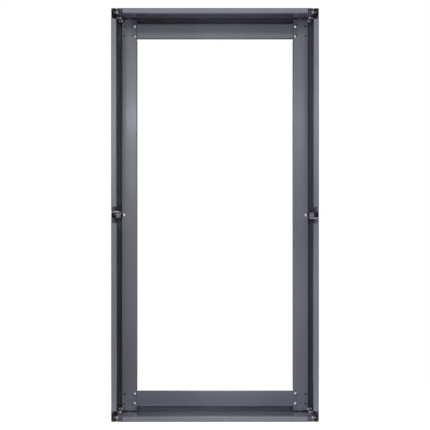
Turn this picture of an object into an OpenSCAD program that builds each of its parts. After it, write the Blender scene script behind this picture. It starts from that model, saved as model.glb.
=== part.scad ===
// Firewood log rack: four folded side trays, two folded end trays and a bolted rear frame.
// X is the width, the open front faces -Y, and the rack stands on Z = 0.

/* [Rack] */
// Outside width
rack_w = 500; // [380:10:700]
// Outside height
rack_h = 996; // [720:4:1400]
// Outside depth, front to back
rack_d = 250; // [180:5:400]

/* [Sheet metal] */
// Thickness of the folded sheet
sheet = 1.0; // [0.8:0.1:1.2]
// Outside radius of every fold
bend_r = 2.0; // [1.8:0.1:2.4]
// Width of the front and end flanges
flange = 13; // [12.5:0.5:14]
// Depth of the lip that returns behind the front flange
return_lip = 8; // [5:0.5:10]
// Width of the rear flanges
rear_flange = 34; // [30:1:40]
// Clearance between sheets that are bolted face to face
fit_gap = 0.1; // [0.05:0.05:0.2]

/* [Joints] */
// Height of the side seams above or below mid-height
seam_shift = 6.3; // [5:0.1:8]
// Front flange left out at an end that has a lip
lip_notch = 26; // [24:1:30]
// Front flange left out at a plain end
plain_notch = 14; // [13:1:18]
// Corner bolts, distance from the outer face of the end tray
corner_bolt_inset = 7.5; // [7:0.1:8]
// Side seam bolts, distance from the outer face of the side tray
seam_bolt_inset = 6.5; // [6.2:0.1:6.8]
// First bolt, distance behind the front
front_bolt_depth = 18; // [12:1:30]
// Middle bolt, distance behind the front
middle_bolt_depth = 145; // [90:1:150]
// Last bolt, distance in front of the back
back_bolt_depth = 23; // [23:1:40]

/* [Rear frame] */
// Face width of the posts
post_face = 40; // [36:1:50]
// Depth of the posts, which reach back to the rear flanges
post_depth = 15; // [14:0.5:18]
// Distance of the outer edge of a post from the outside of the rack
post_inset = 13.5; // [13.5:0.5:16]
// Gap between the ends of a post and the outside of the rack
post_end_gap = 3.5; // [2.5:0.5:8]
// Height of the rail face
rail_face = 40; // [36:1:46]
// Gap between a rail and the outside of the rack
rail_inset = 13; // [8:1:20]
// Gap between the ends of a rail and the outside of the rack
rail_end_gap = 28; // [26:1:32]
// Distance of the outer hole column from the outside of the rack
outer_hole_inset = 21; // [20:0.5:22]
// Distance of the bolted inner hole column from the outside of the rack
inner_hole_inset = 46; // [45:0.5:47]
// Vertical distance between the two holes of a column
hole_pitch = 24.5; // [22:0.5:26]
// Distance of the post bolts from the outside of the rack
post_bolt_inset = 19; // [18.8:0.1:20]

/* [Fasteners] */
// Thread diameter
bolt_d = 5; // [4:0.5:5]
// Head diameter
head_d = 9; // [7.5:0.5:9]
// Head height
head_h = 2.8; // [2:0.1:3]
// Width across the flats of a nut
nut_af = 8; // [7:0.5:8]
// Thickness of a nut
nut_t = 4; // [3.2:0.1:4]
// Length of the short bolts
short_bolt = 8; // [7:1:9]
// Diameter of the holes in the sheet
hole_d = 5.5; // [5.2:0.1:5.6]

/* [Hidden] */

$fn = 48;
LEFT = -1;
RIGHT = 1;
BOTTOM = -1;
TOP = 1;
steel_colour = [0.34, 0.35, 0.39];
zinc_colour = [0.78, 0.79, 0.82];

eps = 0.01;
// Flat strip kept beside a fold, where the web meets it; it is also the corner relief
stub = 1;
edge_relief = 0.1;
// Length of a cutter that passes through one sheet
punch = 3 * sheet;
// Gap between the turned end of an end tray and the post behind it
post_clearance = 0.6;
// Gap between the rear flanges of an end tray and of a side tray
flange_clearance = 0.5;
// How far the cut in a post's inner flange reaches past the rail
rail_clearance = 5;

front_y = -rack_d / 2;
mid_z = rack_h / 2;
bolt_depths = [front_bolt_depth, middle_bolt_depth, rack_d - back_bolt_depth];

// End trays sit between the lips of the side trays
end_panel_l = rack_w - 2 * flange - 2 * fit_gap;
end_flange_rear = rack_d - post_depth - sheet - post_clearance;
end_rear_notch = rear_flange - flange + flange_clearance;

long_side_l = mid_z + seam_shift - fit_gap / 2;
short_side_l = mid_z - seam_shift - fit_gap / 2;

// Rear frame, seen from the front
post_x = rack_w / 2 - post_inset - post_face;
post_y = rack_d / 2 - sheet - post_depth;
post_l = rack_h - 2 * post_end_gap;
inner_flange_notch = rail_inset + rail_face + rail_clearance - post_end_gap;
rail_y = post_y + sheet + fit_gap;
rail_depth = rack_d / 2 - sheet - rail_y;
rail_l = rack_w - 2 * rail_end_gap;
rail_z = rail_inset + rail_face / 2;
outer_hole_x = rack_w / 2 - outer_hole_inset;
inner_hole_x = rack_w / 2 - inner_hole_inset;
post_bolt_x = rack_w / 2 - post_bolt_inset;
long_bolt = post_depth + sheet;

// ---- Folded sheet ----

// Quarter ring of one fold, turning from +X to +Y
module bend() {
    translate([0, bend_r])
        intersection() {
            difference() {
                circle(r = bend_r);
                circle(r = bend_r - sheet);
            }
            translate([0, -bend_r])
                square(bend_r);
        }
}

// Cross-section of a strip whose flat legs are joined by left-hand right-angle folds
module folded(legs, i = 0) {
    square([legs[i], sheet]);
    if (i < len(legs) - 1)
        translate([legs[i], 0]) {
            bend();
            translate([bend_r, bend_r])
                rotate(90)
                    folded(legs, i + 1);
        }
}

// Edge cross-section that starts on the web, points to -X and folds up into a flange,
// with a second fold into a lip where lip is above zero
module edge_profile(width, lip = 0) {
    translate([bend_r + stub, 0])
        mirror([1, 0])
            if (lip > 0)
                folded([stub, width - 2 * bend_r, lip - bend_r]);
            else
                folded([stub, width - bend_r]);
}

// Extrudes a (Y, Z) section along X
module along_x(x0, x1)
    translate([x0, 0, 0])
        rotate([90, 0, 90])
            linear_extrude(x1 - x0)
                children();

// Extrudes an (X, Z) section along Y
module along_y(y0, y1)
    translate([0, y1, 0])
        rotate([90, 0, 0])
            linear_extrude(y1 - y0)
                children();

// Row of holes along the depth through a turned end that stands across X
module bolt_row_x(z)
    for (d = bolt_depths)
        translate([-eps, d, z])
            rotate([0, 90, 0])
                cylinder(d = hole_d, h = flange);

// Row of holes along the depth through a sheet that lies across Z
module bolt_row_z(x, z0)
    for (d = bolt_depths)
        translate([x, d, z0])
            cylinder(d = hole_d, h = punch, center = true);

// Flat web and its front and rear flanges; the tray lies on Z = 0 and opens upwards
module tray_body(length, notch0, notch1, rear0, rear1) {
    translate([bend_r, bend_r, 0])
        cube([length - 2 * bend_r, rack_d - 2 * bend_r, sheet]);
    along_x(notch0, length - notch1)
        edge_profile(flange, return_lip);
    along_x(rear0, length - rear1)
        translate([rack_d, 0])
            mirror([1, 0])
                edge_profile(rear_flange);
}

// Turned end of a tray at X = 0
module tray_end(lip, y1)
    along_y(bend_r + stub, y1)
        edge_profile(flange, lip);

module end_panel() {
    difference() {
        union() {
            tray_body(end_panel_l, plain_notch, plain_notch, end_rear_notch, end_rear_notch);
            for (side = [0, 1])
                translate([side * end_panel_l, 0, 0])
                    mirror([side, 0, 0])
                        tray_end(0, end_flange_rear);
        }
        bolt_row_x(corner_bolt_inset);
        translate([end_panel_l, 0, 0])
            mirror([1, 0, 0])
                bolt_row_x(corner_bolt_inset);
    }
}

// Side tray with a lipped end at X = 0. seam_at_start says whether that end is the seam;
// the other end is then a corner with a lip, otherwise it is the seam's plain end.
module side_panel(length, seam_at_start) {
    far_notch = seam_at_start ? lip_notch : plain_notch;
    far_lip = seam_at_start ? flange : 0;
    end_y = rack_d - bend_r - stub;
    difference() {
        union() {
            tray_body(length, lip_notch, far_notch, edge_relief, edge_relief);
            tray_end(flange, end_y);
            translate([length, 0, 0])
                mirror([1, 0, 0])
                    tray_end(far_lip, end_y);
        }
        side_panel_holes(length, seam_at_start);
    }
}

module side_panel_holes(length, seam_at_start) {
    seam_x = seam_at_start ? 0 : length;
    corner_x = seam_at_start ? length - corner_bolt_inset : corner_bolt_inset;
    for (d = bolt_depths)
        translate([seam_x, d, seam_bolt_inset])
            rotate([0, 90, 0])
                cylinder(d = hole_d, h = punch, center = true);
    bolt_row_z(corner_x, flange - sheet / 2);
    if (seam_at_start)
        translate([seam_shift - fit_gap / 2, rack_d - sheet / 2, post_bolt_inset])
            rotate([90, 0, 0])
                cylinder(d = hole_d, h = punch, center = true);
}

// ---- Fasteners ----

// Domed bolt with a cross recess: the head stands on Z = 0 and the shank points down
module bolt(length) {
    dome_r = (pow(head_d / 2, 2) + pow(head_h, 2)) / (2 * head_h);
    tip = 0.6;
    recess_w = 1.1;
    recess_l = 4.6;
    recess_deep = 1.5;
    difference() {
        rotate_extrude()
            intersection() {
                translate([0, head_h - dome_r])
                    circle(r = dome_r);
                square([head_d, head_h]);
            }
        for (turn = [0, 90])
            rotate(turn)
                translate([-recess_l / 2, -recess_w / 2, head_h - recess_deep])
                    cube([recess_l, recess_w, head_h]);
    }
    translate([0, 0, tip - length])
        cylinder(d = bolt_d, h = length - tip + eps);
    translate([0, 0, -length])
        cylinder(d1 = bolt_d - 2 * tip, d2 = bolt_d, h = tip);
}

// Hexagon nut with chamfered corners, lying below Z = 0, flats facing +X and -X
module nut() {
    corner_d = nut_af / cos(30);
    face_d = nut_af + 0.2;
    // The corner chamfer loses this much diameter over the height of the nut
    cone = 4 * nut_t;
    bore_d = bolt_d + 0.1;
    bore_chamfer = 0.5;
    translate([0, 0, -nut_t])
        difference() {
            intersection() {
                rotate(30)
                    cylinder(d = corner_d, h = nut_t, $fn = 6);
                cylinder(d1 = face_d, d2 = face_d + cone, h = nut_t);
                cylinder(d1 = face_d + cone, d2 = face_d, h = nut_t);
            }
            translate([0, 0, -eps])
                cylinder(d = bore_d, h = nut_t + 2 * eps);
            translate([0, 0, nut_t - bore_chamfer])
                cylinder(d1 = bore_d - eps, d2 = bore_d + 2 * bore_chamfer, h = bore_chamfer + eps);
        }
}

// Places a fastener at each corner bolt. Its +Z points to the middle of the rack.
module at_corner(side, level, x)
    for (d = bolt_depths)
        translate([side * x, front_y + d, mid_z + level * (mid_z - corner_bolt_inset)])
            rotate([0, -90 * side, 0])
                children();

// Places a fastener at each seam bolt, offset from the seam along its own axis.
// Heads are above the left seam and below the right one.
module at_seam(side, offset)
    for (d = bolt_depths)
        translate([side * (rack_w / 2 - seam_bolt_inset), front_y + d,
                   mid_z - side * (seam_shift + offset)])
            rotate([side > 0 ? 180 : 0, 0, 0])
                children();

// Places a fastener at both bolted holes of a rail end, with its head to the front
module at_rail_end(side, level, y)
    for (row = [-1, 1])
        translate([side * inner_hole_x, y, mid_z + level * (mid_z - rail_z) + row * hole_pitch / 2])
            rotate([90, 0, 0])
                children();

// ---- Sub-parts ----

module bottom_panel()
    color(steel_colour)
        translate([-end_panel_l / 2, front_y, 0])
            end_panel();

module top_panel()
    color(steel_colour)
        translate([end_panel_l / 2, front_y, rack_h])
            rotate([0, 180, 0])
                end_panel();

module left_side(lower)
    color(steel_colour)
        translate([-rack_w / 2, front_y, lower ? long_side_l : rack_h])
            rotate([0, 90, 0])
                side_panel(lower ? long_side_l : short_side_l, lower);

module right_side(lower)
    color(steel_colour)
        translate([rack_w / 2, front_y, lower ? 0 : rack_h - long_side_l])
            rotate([0, -90, 0])
                side_panel(lower ? short_side_l : long_side_l, !lower);

// Open channel that faces the front, with its inner flange cut away behind each rail
module rear_post(side)
    color(steel_colour)
        difference() {
            translate([side * (post_x + post_face / 2), rack_d / 2 - sheet, post_end_gap])
                linear_extrude(post_l)
                    rotate(-90)
                        translate([0, -post_face / 2])
                            folded([post_depth - bend_r, post_face - 2 * bend_r,
                                    post_depth - bend_r]);
            for (level = [BOTTOM, TOP]) {
                translate([side * (post_x + bend_r / 2), post_y + sheet + post_depth / 2,
                           mid_z + level * (post_l - inner_flange_notch) / 2])
                    cube([bend_r + 2 * eps, post_depth, inner_flange_notch + eps], center = true);
                for (x = [inner_hole_x, outer_hole_x], row = [-1, 1])
                    post_hole(side * x, mid_z + level * (mid_z - rail_z) + row * hole_pitch / 2);
            }
            post_hole(side * post_bolt_x, mid_z);
        }

module post_hole(x, z)
    translate([x, post_y + sheet / 2, z])
        rotate([90, 0, 0])
            cylinder(d = hole_d, h = punch, center = true);

// Open channel behind the post faces
module rear_rail(level)
    color(steel_colour)
        translate([0, 0, mid_z + level * (mid_z - rail_z)])
            difference() {
                translate([-rail_l / 2, rack_d / 2 - sheet, 0])
                    along_x(0, rail_l)
                        translate([0, rail_face / 2])
                            rotate(180)
                                folded([rail_depth - bend_r, rail_face - 2 * bend_r,
                                        rail_depth - bend_r]);
                for (side = [LEFT, RIGHT], row = [-1, 1])
                    translate([side * inner_hole_x, rail_y + sheet / 2, row * hole_pitch / 2])
                        rotate([90, 0, 0])
                            cylinder(d = hole_d, h = punch, center = true);
            }

module corner_bolts(side, level)
    color(zinc_colour)
        at_corner(side, level, end_panel_l / 2 - sheet)
            bolt(short_bolt);

module corner_nuts(side, level)
    color(zinc_colour)
        at_corner(side, level, rack_w / 2 - flange + sheet)
            nut();

module seam_bolts(side)
    color(zinc_colour)
        at_seam(side, sheet + fit_gap / 2)
            bolt(short_bolt);

module seam_nuts(side)
    color(zinc_colour)
        at_seam(side, -sheet - fit_gap / 2)
            nut();

module rail_bolts(side, level)
    color(zinc_colour)
        at_rail_end(side, level, post_y)
            bolt(short_bolt);

module rail_nuts(side, level)
    color(zinc_colour)
        at_rail_end(side, level, rail_y + sheet)
            nut();

module post_bolt(side)
    color(zinc_colour)
        translate([side * post_bolt_x, post_y, mid_z])
            rotate([90, 0, 0])
                bolt(long_bolt);

module post_weld_nut(side)
    color(zinc_colour)
        translate([side * post_bolt_x, rack_d / 2 - sheet - nut_t, mid_z])
            rotate([90, 0, 0])
                nut();

bottom_panel();
top_panel();
left_side(true);  // left_side_lower
left_side(false);  // left_side_upper
right_side(true);  // right_side_lower
right_side(false);  // right_side_upper
rear_post(LEFT);  // rear_post_left
rear_post(RIGHT);  // rear_post_right
rear_rail(BOTTOM);  // rear_rail_bottom
rear_rail(TOP);  // rear_rail_top
corner_bolts(LEFT, BOTTOM);  // corner_bolts_bottom_left
corner_bolts(RIGHT, BOTTOM);  // corner_bolts_bottom_right
corner_bolts(LEFT, TOP);  // corner_bolts_top_left
corner_bolts(RIGHT, TOP);  // corner_bolts_top_right
corner_nuts(LEFT, BOTTOM);  // corner_nuts_bottom_left
corner_nuts(RIGHT, BOTTOM);  // corner_nuts_bottom_right
corner_nuts(LEFT, TOP);  // corner_nuts_top_left
corner_nuts(RIGHT, TOP);  // corner_nuts_top_right
seam_bolts(LEFT);  // seam_bolts_left
seam_bolts(RIGHT);  // seam_bolts_right
seam_nuts(LEFT);  // seam_nuts_left
seam_nuts(RIGHT);  // seam_nuts_right
rail_bolts(LEFT, BOTTOM);  // rail_bolts_bottom_left
rail_bolts(RIGHT, BOTTOM);  // rail_bolts_bottom_right
rail_bolts(LEFT, TOP);  // rail_bolts_top_left
rail_bolts(RIGHT, TOP);  // rail_bolts_top_right
rail_nuts(LEFT, BOTTOM);  // rail_nuts_bottom_left
rail_nuts(RIGHT, BOTTOM);  // rail_nuts_bottom_right
rail_nuts(LEFT, TOP);  // rail_nuts_top_left
rail_nuts(RIGHT, TOP);  // rail_nuts_top_right
post_bolt(LEFT);  // post_bolt_left
post_bolt(RIGHT);  // post_bolt_right
post_weld_nut(LEFT);  // post_weld_nut_left
post_weld_nut(RIGHT);  // post_weld_nut_right
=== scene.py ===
import math
import random

import bmesh
import bpy
from mathutils import Matrix, Vector


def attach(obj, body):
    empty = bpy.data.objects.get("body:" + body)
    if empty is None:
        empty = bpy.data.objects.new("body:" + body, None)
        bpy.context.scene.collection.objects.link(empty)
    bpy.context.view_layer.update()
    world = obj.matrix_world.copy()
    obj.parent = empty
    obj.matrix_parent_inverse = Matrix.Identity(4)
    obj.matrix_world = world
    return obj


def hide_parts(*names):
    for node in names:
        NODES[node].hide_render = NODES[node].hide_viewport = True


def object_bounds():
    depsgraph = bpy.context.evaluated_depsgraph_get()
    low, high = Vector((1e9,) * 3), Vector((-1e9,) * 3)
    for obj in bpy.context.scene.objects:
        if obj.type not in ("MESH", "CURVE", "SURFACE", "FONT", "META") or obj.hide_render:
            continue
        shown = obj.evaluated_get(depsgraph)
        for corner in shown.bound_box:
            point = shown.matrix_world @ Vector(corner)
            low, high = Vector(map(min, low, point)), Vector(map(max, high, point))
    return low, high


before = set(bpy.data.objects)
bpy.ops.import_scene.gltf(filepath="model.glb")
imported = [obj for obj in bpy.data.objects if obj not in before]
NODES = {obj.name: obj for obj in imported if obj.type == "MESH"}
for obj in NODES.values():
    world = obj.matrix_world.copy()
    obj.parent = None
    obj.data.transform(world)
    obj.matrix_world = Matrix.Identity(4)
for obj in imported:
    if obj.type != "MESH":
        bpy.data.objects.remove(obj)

CAD_LOW, CAD_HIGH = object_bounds()
MM = 0.001

BOLT_PREFIXES = ("corner_bolts", "seam_bolts", "rail_bolts", "post_bolt")
NUT_PREFIXES = ("corner_nuts", "seam_nuts", "rail_nuts", "post_weld_nut")

BOLT_NODES = sorted(n for n in NODES if n.startswith(BOLT_PREFIXES))
NUT_NODES = sorted(n for n in NODES if n.startswith(NUT_PREFIXES))
STEEL_NODES = sorted(set(NODES) - set(BOLT_NODES) - set(NUT_NODES))


# ---- Camera ----

def make_camera():
    """Level camera in front of the middle of the open face."""
    distance = 4.554
    middle = (CAD_LOW + CAD_HIGH) / 2
    data = bpy.data.cameras.new("camera")
    data.sensor_width = 36
    data.lens = 158.5
    data.clip_start = 0.05
    data.clip_end = 60
    camera = bpy.data.objects.new("camera", data)
    bpy.context.scene.collection.objects.link(camera)
    camera.location = (middle.x, CAD_LOW.y - distance, middle.z)
    camera.rotation_euler = (math.radians(90), 0, 0)
    bpy.context.scene.camera = camera


# ---- Node helpers ----

class Shader:
    """A material's node tree, with short calls for the nodes used here."""

    def __init__(self, name):
        self.material = bpy.data.materials.new(name)
        self.material.use_nodes = True
        self.tree = self.material.node_tree
        self.surface = self.tree.nodes["Principled BSDF"]

    def node(self, kind, **settings):
        made = self.tree.nodes.new(kind)
        for key, value in settings.items():
            setattr(made, key, value)
        return made

    def link(self, source, target):
        self.tree.links.new(source, target)

    def noise(self, vector, scale, detail=2.0, roughness=0.5):
        made = self.node("ShaderNodeTexNoise")
        made.inputs["Scale"].default_value = scale
        made.inputs["Detail"].default_value = detail
        made.inputs["Roughness"].default_value = roughness
        self.link(vector, made.inputs["Vector"])
        return made.outputs["Fac"]

    def math(self, operation, a, b):
        """Combines two values; each is a socket or a number."""
        made = self.node("ShaderNodeMath", operation=operation)
        for socket, value in zip(made.inputs, (a, b)):
            if isinstance(value, (int, float)):
                socket.default_value = value
            else:
                self.link(value, socket)
        return made.outputs[0]

    def remap(self, value, low, high, new_low, new_high):
        made = self.node("ShaderNodeMapRange")
        for name, number in (("From Min", low), ("From Max", high),
                             ("To Min", new_low), ("To Max", new_high)):
            made.inputs[name].default_value = number
        self.link(value, made.inputs["Value"])
        return made.outputs["Result"]

    def mix(self, factor, a, b):
        """Mixes two colours; each is a socket or four numbers."""
        made = self.node("ShaderNodeMix", data_type="RGBA")
        self.link(factor, made.inputs["Factor"])
        for identifier, value in (("A_Color", a), ("B_Color", b)):
            socket = next(i for i in made.inputs if i.identifier == identifier)
            if isinstance(value, tuple):
                socket.default_value = value
            else:
                self.link(value, socket)
        return next(o for o in made.outputs if o.identifier == "Result_Color")

    def stretched(self, vector, scale):
        """The coordinates scaled by a different amount along each axis."""
        made = self.node("ShaderNodeMapping")
        made.inputs["Scale"].default_value = scale
        self.link(vector, made.inputs["Vector"])
        return made.outputs["Vector"]

    def position(self):
        return self.node("ShaderNodeTexCoord").outputs["Object"]

    def edge_mask(self, radius):
        """Above zero where the surface turns within this radius of an edge."""
        bevel = self.node("ShaderNodeBevel", samples=4)
        bevel.inputs["Radius"].default_value = radius
        geometry = self.node("ShaderNodeNewGeometry")
        dot = self.node("ShaderNodeVectorMath", operation="DOT_PRODUCT")
        self.link(bevel.outputs["Normal"], dot.inputs[0])
        self.link(geometry.outputs["Normal"], dot.inputs[1])
        return self.remap(dot.outputs["Value"], 0.99, 0.80, 0.0, 1.0)

    def openness(self, reach):
        """One on open faces and near zero deep inside folds and channels, used to paint shade into colour and
        gloss.
        """
        made = self.node("ShaderNodeAmbientOcclusion", samples=6)
        made.inputs["Distance"].default_value = reach
        return made.outputs["AO"]

    def bump(self, height, strength, distance, normal=None):
        made = self.node("ShaderNodeBump")
        made.inputs["Strength"].default_value = strength
        made.inputs["Distance"].default_value = distance
        self.link(height, made.inputs["Height"])
        if normal is not None:
            self.link(normal, made.inputs["Normal"])
        return made.outputs["Normal"]


# ---- Materials ----

def powder_coat():
    """Anthracite powder coat: soft gloss, orange peel, thinner colour over the edges, and painted shade that
    darkens the colour and dims the gloss deep in folds and channels.
    """
    s = Shader("anthracite_powder_coat")
    where = s.position()
    clouds = s.noise(where, 5, detail=3)
    speckle = s.noise(where, 1600, detail=2, roughness=0.7)
    peel = s.noise(where, 620, detail=1.5)
    waves = s.noise(where, 9, detail=1)
    scuff_lines = s.noise(s.stretched(where, (700, 25, 700)), 1, detail=2)
    scuff_area = s.noise(where, 14, detail=2)

    colour = s.mix(s.remap(clouds, 0.3, 0.7, 0, 1),
                   (0.100, 0.102, 0.132, 1), (0.112, 0.114, 0.146, 1))
    colour = s.mix(s.remap(speckle, 0.45, 0.75, 0, 0.35), colour, (0.140, 0.142, 0.172, 1))
    edge = s.edge_mask(0.6 * MM)
    worn = s.math("MULTIPLY", edge, s.remap(scuff_area, 0.4, 0.65, 0.25, 0.9))
    colour = s.mix(worn, colour, (0.200, 0.202, 0.232, 1))
    scuff = s.math("MULTIPLY", s.remap(scuff_lines, 0.64, 0.72, 0, 0.4),
                   s.remap(scuff_area, 0.56, 0.66, 0, 1))
    colour = s.mix(scuff, colour, (0.175, 0.176, 0.205, 1))
    # Painted shade: ambient occlusion pulls the colour towards near black and lowers the gloss deep in folds
    # and channels.
    painted_light_level = s.remap(s.openness(22 * MM), 0.15, 0.60, 0.15, 1.0)
    s.link(s.mix(painted_light_level, (0.008, 0.008, 0.010, 1), colour), s.surface.inputs["Base Color"])
    s.link(s.math("MULTIPLY", painted_light_level, 0.5), s.surface.inputs["Specular IOR Level"])

    rough = s.remap(clouds, 0.3, 0.7, 0.17, 0.23)
    rough = s.math("ADD", rough, s.math("MULTIPLY", scuff, 0.18))
    s.link(rough, s.surface.inputs["Roughness"])
    s.surface.inputs["IOR"].default_value = 1.5
    s.surface.inputs["Specular Tint"].default_value = (0.86, 0.89, 1.0, 1)

    normal = s.bump(waves, 0.25, 0.4 * MM)
    normal = s.bump(peel, 0.30, 0.05 * MM, normal)
    normal = s.bump(speckle, 0.20, 0.02 * MM, normal)
    s.link(normal, s.surface.inputs["Normal"])
    return s.material


def zinc(name, cool, warm, smooth, rough):
    """Zinc plating with a cloudy blue and straw tint, edges lightened as a painted highlight, and painted shade
    darkening it deep in a fold.
    """
    s = Shader(name)
    where = s.position()
    cloud = s.noise(where, 160, detail=3)
    grain = s.noise(where, 5200, detail=2)
    colour = s.mix(s.remap(cloud, 0.35, 0.65, 0, 1), cool, warm)
    # Painted highlight: the edges are lightened towards pale grey to catch light.
    edge = s.edge_mask(0.25 * MM)
    colour = s.mix(s.math("MULTIPLY", edge, 0.6), colour, (0.88, 0.88, 0.88, 1))
    # Painted shade: ambient occlusion pulls the colour towards near black deep in folds.
    painted_light_level = s.remap(s.openness(9 * MM), 0.15, 0.65, 0.15, 1.0)
    s.link(s.mix(painted_light_level, (0.03, 0.03, 0.035, 1), colour), s.surface.inputs["Base Color"])
    s.surface.inputs["Metallic"].default_value = 1.0
    blotch = s.math("ADD", cloud, s.math("MULTIPLY", grain, 0.5))
    s.link(s.remap(blotch, 0.5, 1.0, smooth, rough), s.surface.inputs["Roughness"])
    s.link(s.bump(grain, 0.25, 0.01 * MM), s.surface.inputs["Normal"])
    return s.material


# ---- CAD nodes that stay ----

def dress(node, material, bevel_width):
    """Gives a CAD node its finish, and rounds its edges a little."""
    obj = NODES[node]
    obj.data.materials.clear()
    obj.data.materials.append(material)
    weld = obj.modifiers.new("weld", "WELD")
    weld.merge_threshold = 0.002 * MM
    bevel = obj.modifiers.new("bevel", "BEVEL")
    bevel.width = bevel_width
    bevel.segments = 2
    bevel.limit_method = "ANGLE"
    bevel.angle_limit = math.radians(40)


# ---- Threaded bolts ----

HEAD_HEIGHT = 2.8
HEAD_RADIUS = 4.45
THREAD_RADIUS = 2.5
THREAD_DEPTH = 0.43
PITCH = 0.8
AROUND = 32


def revolve(profile, segments):
    """Closed surface of revolution about Z from (radius, height) pairs that start and end on the axis."""
    shape = bmesh.new()
    rings = []
    for radius, height in profile:
        if radius == 0:
            rings.append([shape.verts.new((0, 0, height))])
        else:
            turns = [2 * math.pi * i / segments for i in range(segments)]
            rings.append([shape.verts.new((radius * math.cos(t), radius * math.sin(t), height))
                          for t in turns])
    for lower, upper in zip(rings, rings[1:]):
        for i in range(segments):
            j = (i + 1) % segments
            corners = [lower[i % len(lower)], lower[j % len(lower)],
                       upper[j % len(upper)], upper[i % len(upper)]]
            shape.faces.new(list(dict.fromkeys(corners)))
    return shape


def as_object(name, shape):
    mesh = bpy.data.meshes.new(name)
    bmesh.ops.recalc_face_normals(shape, faces=shape.faces)
    shape.to_mesh(mesh)
    shape.free()
    obj = bpy.data.objects.new(name, mesh)
    bpy.context.scene.collection.objects.link(obj)
    return obj


def head_mesh():
    """Pan head with a rounded rim and a tapered cross recess, standing on Z = 0, in millimetres."""
    rim = 0.45
    profile = [(0, 0), (4.25, 0), (4.40, 0.06), (HEAD_RADIUS, 0.18), (HEAD_RADIUS, rim)]
    steps = 9
    for i in range(1, steps):
        turn = math.pi / 2 * i / steps
        profile.append((HEAD_RADIUS * math.cos(turn), rim + (HEAD_HEIGHT - rim) * math.sin(turn)))
    profile.append((0, HEAD_HEIGHT))
    head = as_object("head", revolve(profile, 48))
    cutters = []
    for turn in (0, 90):
        shape = bmesh.new()
        bmesh.ops.create_cube(shape, size=1)
        for v in shape.verts:
            top = v.co.z > 0
            v.co = Vector((v.co.x * (5.0 if top else 2.2), v.co.y * (1.25 if top else 0.75),
                           HEAD_HEIGHT + 0.3 if top else 1.0))
        shape.transform(Matrix.Rotation(math.radians(turn), 4, "Z"))
        cutters.append(as_object("cutter", shape))
        cut = head.modifiers.new("recess", "BOOLEAN")
        cut.operation = "DIFFERENCE"
        cut.solver = "EXACT"
        cut.object = cutters[-1]
    soften = head.modifiers.new("soften", "BEVEL")
    soften.width = 0.07
    soften.segments = 2
    soften.limit_method = "ANGLE"
    soften.angle_limit = math.radians(35)
    bpy.context.view_layer.update()
    evaluated = head.evaluated_get(bpy.context.evaluated_depsgraph_get())
    made = bpy.data.meshes.new_from_object(evaluated)
    for spare in [head] + cutters:
        bpy.data.objects.remove(spare)
    return made


def thread_shape(length):
    """One continuous M5 thread below Z = 0 with a chamfered tip, in millimetres."""
    shape = bmesh.new()
    root = THREAD_RADIUS - THREAD_DEPTH
    tip_radius = root - 0.15
    section = ((root, 0.0), (root, 0.20), (THREAD_RADIUS, 0.45), (THREAD_RADIUS, 0.55))
    steps = int((length / PITCH + 2) * AROUND)
    rows = []
    for k in range(steps + 1):
        turn = 2 * math.pi * k / AROUND
        row = []
        for radius, rise in section:
            z = -length - PITCH + PITCH * k / AROUND + rise
            z = min(max(z, -length), 0)
            r = min(radius, tip_radius + z + length)
            row.append(shape.verts.new((r * math.cos(turn), r * math.sin(turn), z)))
        rows.append(row)
    for k in range(steps):
        a, b = rows[k], rows[k + 1]
        for i in range(3):
            shape.faces.new((a[i], b[i], b[i + 1], a[i + 1]))
        if k + AROUND < steps:
            c, d = rows[k + AROUND], rows[k + AROUND + 1]
            shape.faces.new((a[3], b[3], d[0], c[0]))
    tip = [shape.verts.new((tip_radius * math.cos(2 * math.pi * k / AROUND),
                            tip_radius * math.sin(2 * math.pi * k / AROUND), -length))
           for k in range(AROUND)]
    shape.faces.new(tip)
    bmesh.ops.remove_doubles(shape, verts=shape.verts, dist=0.001)
    bmesh.ops.dissolve_degenerate(shape, edges=shape.edges, dist=0.0005)
    bmesh.ops.recalc_face_normals(shape, faces=shape.faces)
    return shape


def bolt_boxes(node):
    """The box of each bolt in a CAD node, found by the gaps between the bolts across their length."""
    obj = NODES[node]
    points = [obj.matrix_world @ v.co for v in obj.data.vertices]
    axis = 1 if node.startswith(("corner", "seam")) else 2
    points.sort(key=lambda p: p[axis])
    groups = [[points[0]]]
    for before, point in zip(points, points[1:]):
        if point[axis] - before[axis] > HEAD_RADIUS * MM:
            groups.append([])
        groups[-1].append(point)
    return [(Vector([min(p[i] for p in g) for i in range(3)]),
             Vector([max(p[i] for p in g) for i in range(3)])) for g in groups]


def head_direction(node):
    if node.startswith("corner"):
        return Vector((1 if node.endswith("left") else -1, 0, 0))
    if node.startswith("seam"):
        return Vector((0, 0, 1 if node.endswith("left") else -1))
    return Vector((0, -1, 0))


def build_bolts(node, head, material, chance):
    """Detailed bolts in place of one CAD node, each turned by its own amount."""
    along = head_direction(node)
    axis = max(range(3), key=lambda i: abs(along[i]))
    shape = bmesh.new()
    for low, high in bolt_boxes(node):
        place = (low + high) / 2
        length = (high - low)[axis] / MM - HEAD_HEIGHT
        top = high[axis] if along[axis] > 0 else low[axis]
        place[axis] = top - along[axis] * HEAD_HEIGHT * MM
        one = thread_shape(length)
        one.from_mesh(head)
        one.transform(Matrix.Translation(place) @ along.to_track_quat("Z", "Y").to_matrix().to_4x4()
                      @ Matrix.Rotation(chance.uniform(0, math.pi), 4, "Z") @ Matrix.Scale(MM, 4))
        part = bpy.data.meshes.new("part")
        one.to_mesh(part)
        one.free()
        shape.from_mesh(part)
        bpy.data.meshes.remove(part)
    mesh = bpy.data.meshes.new(node + "_detail")
    shape.to_mesh(mesh)
    shape.free()
    mesh.shade_smooth()
    mesh.set_sharp_from_angle(angle=math.radians(32))
    mesh.materials.append(material)
    bolts = bpy.data.objects.new(node + "_detail", mesh)
    bpy.context.scene.collection.objects.link(bolts)
    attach(bolts, "root")
    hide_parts(node)


# ---- Stage and light ----

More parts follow.
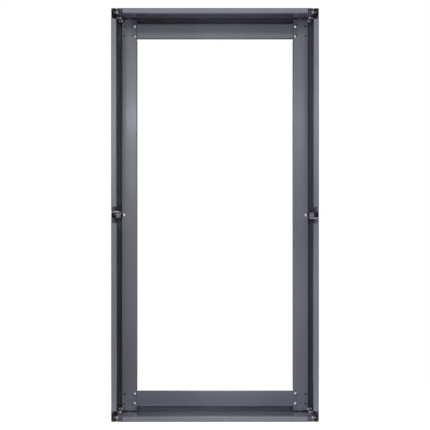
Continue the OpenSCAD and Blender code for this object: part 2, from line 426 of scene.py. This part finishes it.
def area_light(name, place, target, width, height, power, mirrored=True):
    data = bpy.data.lights.new(name, "AREA")
    data.shape = "RECTANGLE"
    data.size = width
    data.size_y = height
    data.energy = power
    light = bpy.data.objects.new(name, data)
    bpy.context.scene.collection.objects.link(light)
    light.visible_camera = False
    light.visible_glossy = mirrored
    light.location = place
    direction = Vector(target) - Vector(place)
    light.rotation_euler = direction.to_track_quat("-Z", "Y").to_euler()


def make_floor():
    """Pale round floor that glows like a light table and fades out into the white studio."""
    radius = 1.6
    fade_start, fade_end = 0.55, 1.25
    glow = 0.72
    floor_mesh = bpy.data.meshes.new("floor")
    shape = bmesh.new()
    bmesh.ops.create_circle(shape, cap_ends=True, segments=96, radius=radius)
    shape.to_mesh(floor_mesh)
    shape.free()
    floor = bpy.data.objects.new("floor", floor_mesh)
    bpy.context.scene.collection.objects.link(floor)
    floor.location.z = CAD_LOW.z - 0.2 * MM
    s = Shader("floor")
    s.surface.inputs["Base Color"].default_value = (0.82, 0.82, 0.82, 1)
    s.surface.inputs["Roughness"].default_value = 0.8
    s.surface.inputs["Emission Color"].default_value = (1, 1, 1, 1)
    s.surface.inputs["Emission Strength"].default_value = glow
    reach = s.node("ShaderNodeVectorMath", operation="LENGTH")
    s.link(s.position(), reach.inputs[0])
    s.link(s.remap(reach.outputs["Value"], fade_start, fade_end, 1.0, 0.0),
           s.surface.inputs["Alpha"])
    floor_mesh.materials.append(s.material)


def make_world():
    """White behind the object, dimmer in reflections, and weak as a light, so the softboxes shape the metal."""
    seen, reflected, given = 1.0, 0.5, 0.10
    world = bpy.data.worlds.new("studio")
    bpy.context.scene.world = world
    world.use_nodes = True
    nodes, links = world.node_tree.nodes, world.node_tree.links
    background = nodes["Background"]
    background.inputs["Color"].default_value = (1, 1, 1, 1)
    path = nodes.new("ShaderNodeLightPath")
    mirror = nodes.new("ShaderNodeMix")
    links.new(path.outputs["Is Glossy Ray"], mirror.inputs["Factor"])
    mirror.inputs["A"].default_value = given
    mirror.inputs["B"].default_value = reflected
    direct = nodes.new("ShaderNodeMix")
    links.new(path.outputs["Is Camera Ray"], direct.inputs["Factor"])
    links.new(mirror.outputs["Result"], direct.inputs["A"])
    direct.inputs["B"].default_value = seen
    links.new(direct.outputs["Result"], background.inputs["Strength"])


def make_lights():
    """Softboxes around the rack, and small ones far in front for the gradients on the front faces."""
    middle = Vector((0, 0, 0.5))
    for azimuth, elevation, power in ((-50, 50, 2.5), (50, 50, 2.5), (30, 25, 8.5), (0, 14, 2.2),
                                      (-140, 35, 12.0), (140, 35, 12.0)):
        a, e = math.radians(azimuth), math.radians(elevation)
        out = Vector((math.sin(a) * math.cos(e), -math.cos(a) * math.cos(e), math.sin(e)))
        area_light("softbox", middle + out * 2.6, middle, 1.1, 1.1, power)
    for x, power in ((-1.6, 15.0), (1.6, 7.5)):
        area_light("side_strip", (x, -1.6, 0.6), middle, 0.5, 1.2, power)
    area_light("top_strip", (0, -0.9, 1.9), (0, 0.05, 0.5), 1.0, 0.5, 4.5)
    for x, z, power in ((-0.2, 1.05, 8.4), (0.2, 1.05, 5.8), (-0.55, 1.05, 7.2), (0.55, 1.05, 3.6),
                        (-0.2, 0.1, 3.2), (0.2, 0.1, 2.8), (-0.2, 0.6, 1.6)):
        area_light("far_box", (x, -6.6, z), middle, 0.25, 0.25, power)
    area_light("far_header", (0, -6.6, 1.75), middle, 1.5, 0.35, 9.0)
    area_light("low_inner", (0.05, -0.15, 0.22), (0.06, 0.11, 0.03), 0.12, 0.06, 0.34, mirrored=False)
    area_light("low_right", (0.10, -0.30, 0.35), (0.10, 0.05, 0.0), 0.25, 0.12, 0.28, mirrored=False)


make_camera()
coat = powder_coat()
plating = zinc("bright_zinc", (0.70, 0.73, 0.80, 1), (0.80, 0.79, 0.74, 1), 0.24, 0.36)
# Painted shade: a darker copy of the zinc for the nuts, standing in for the shade they sit in.
painted_shade_plating = zinc("painted_shade_zinc", (0.30, 0.31, 0.34, 1), (0.38, 0.375, 0.36, 1), 0.32, 0.46)
for name in STEEL_NODES:
    dress(name, coat, 0.18 * MM)
for name in NUT_NODES:
    dress(name, painted_shade_plating, 0.12 * MM)
chance = random.Random(5)
head = head_mesh()
for name in BOLT_NODES:
    build_bolts(name, head, plating, chance)
make_floor()
make_world()
make_lights()
bpy.context.scene.view_settings.view_transform = "Standard"
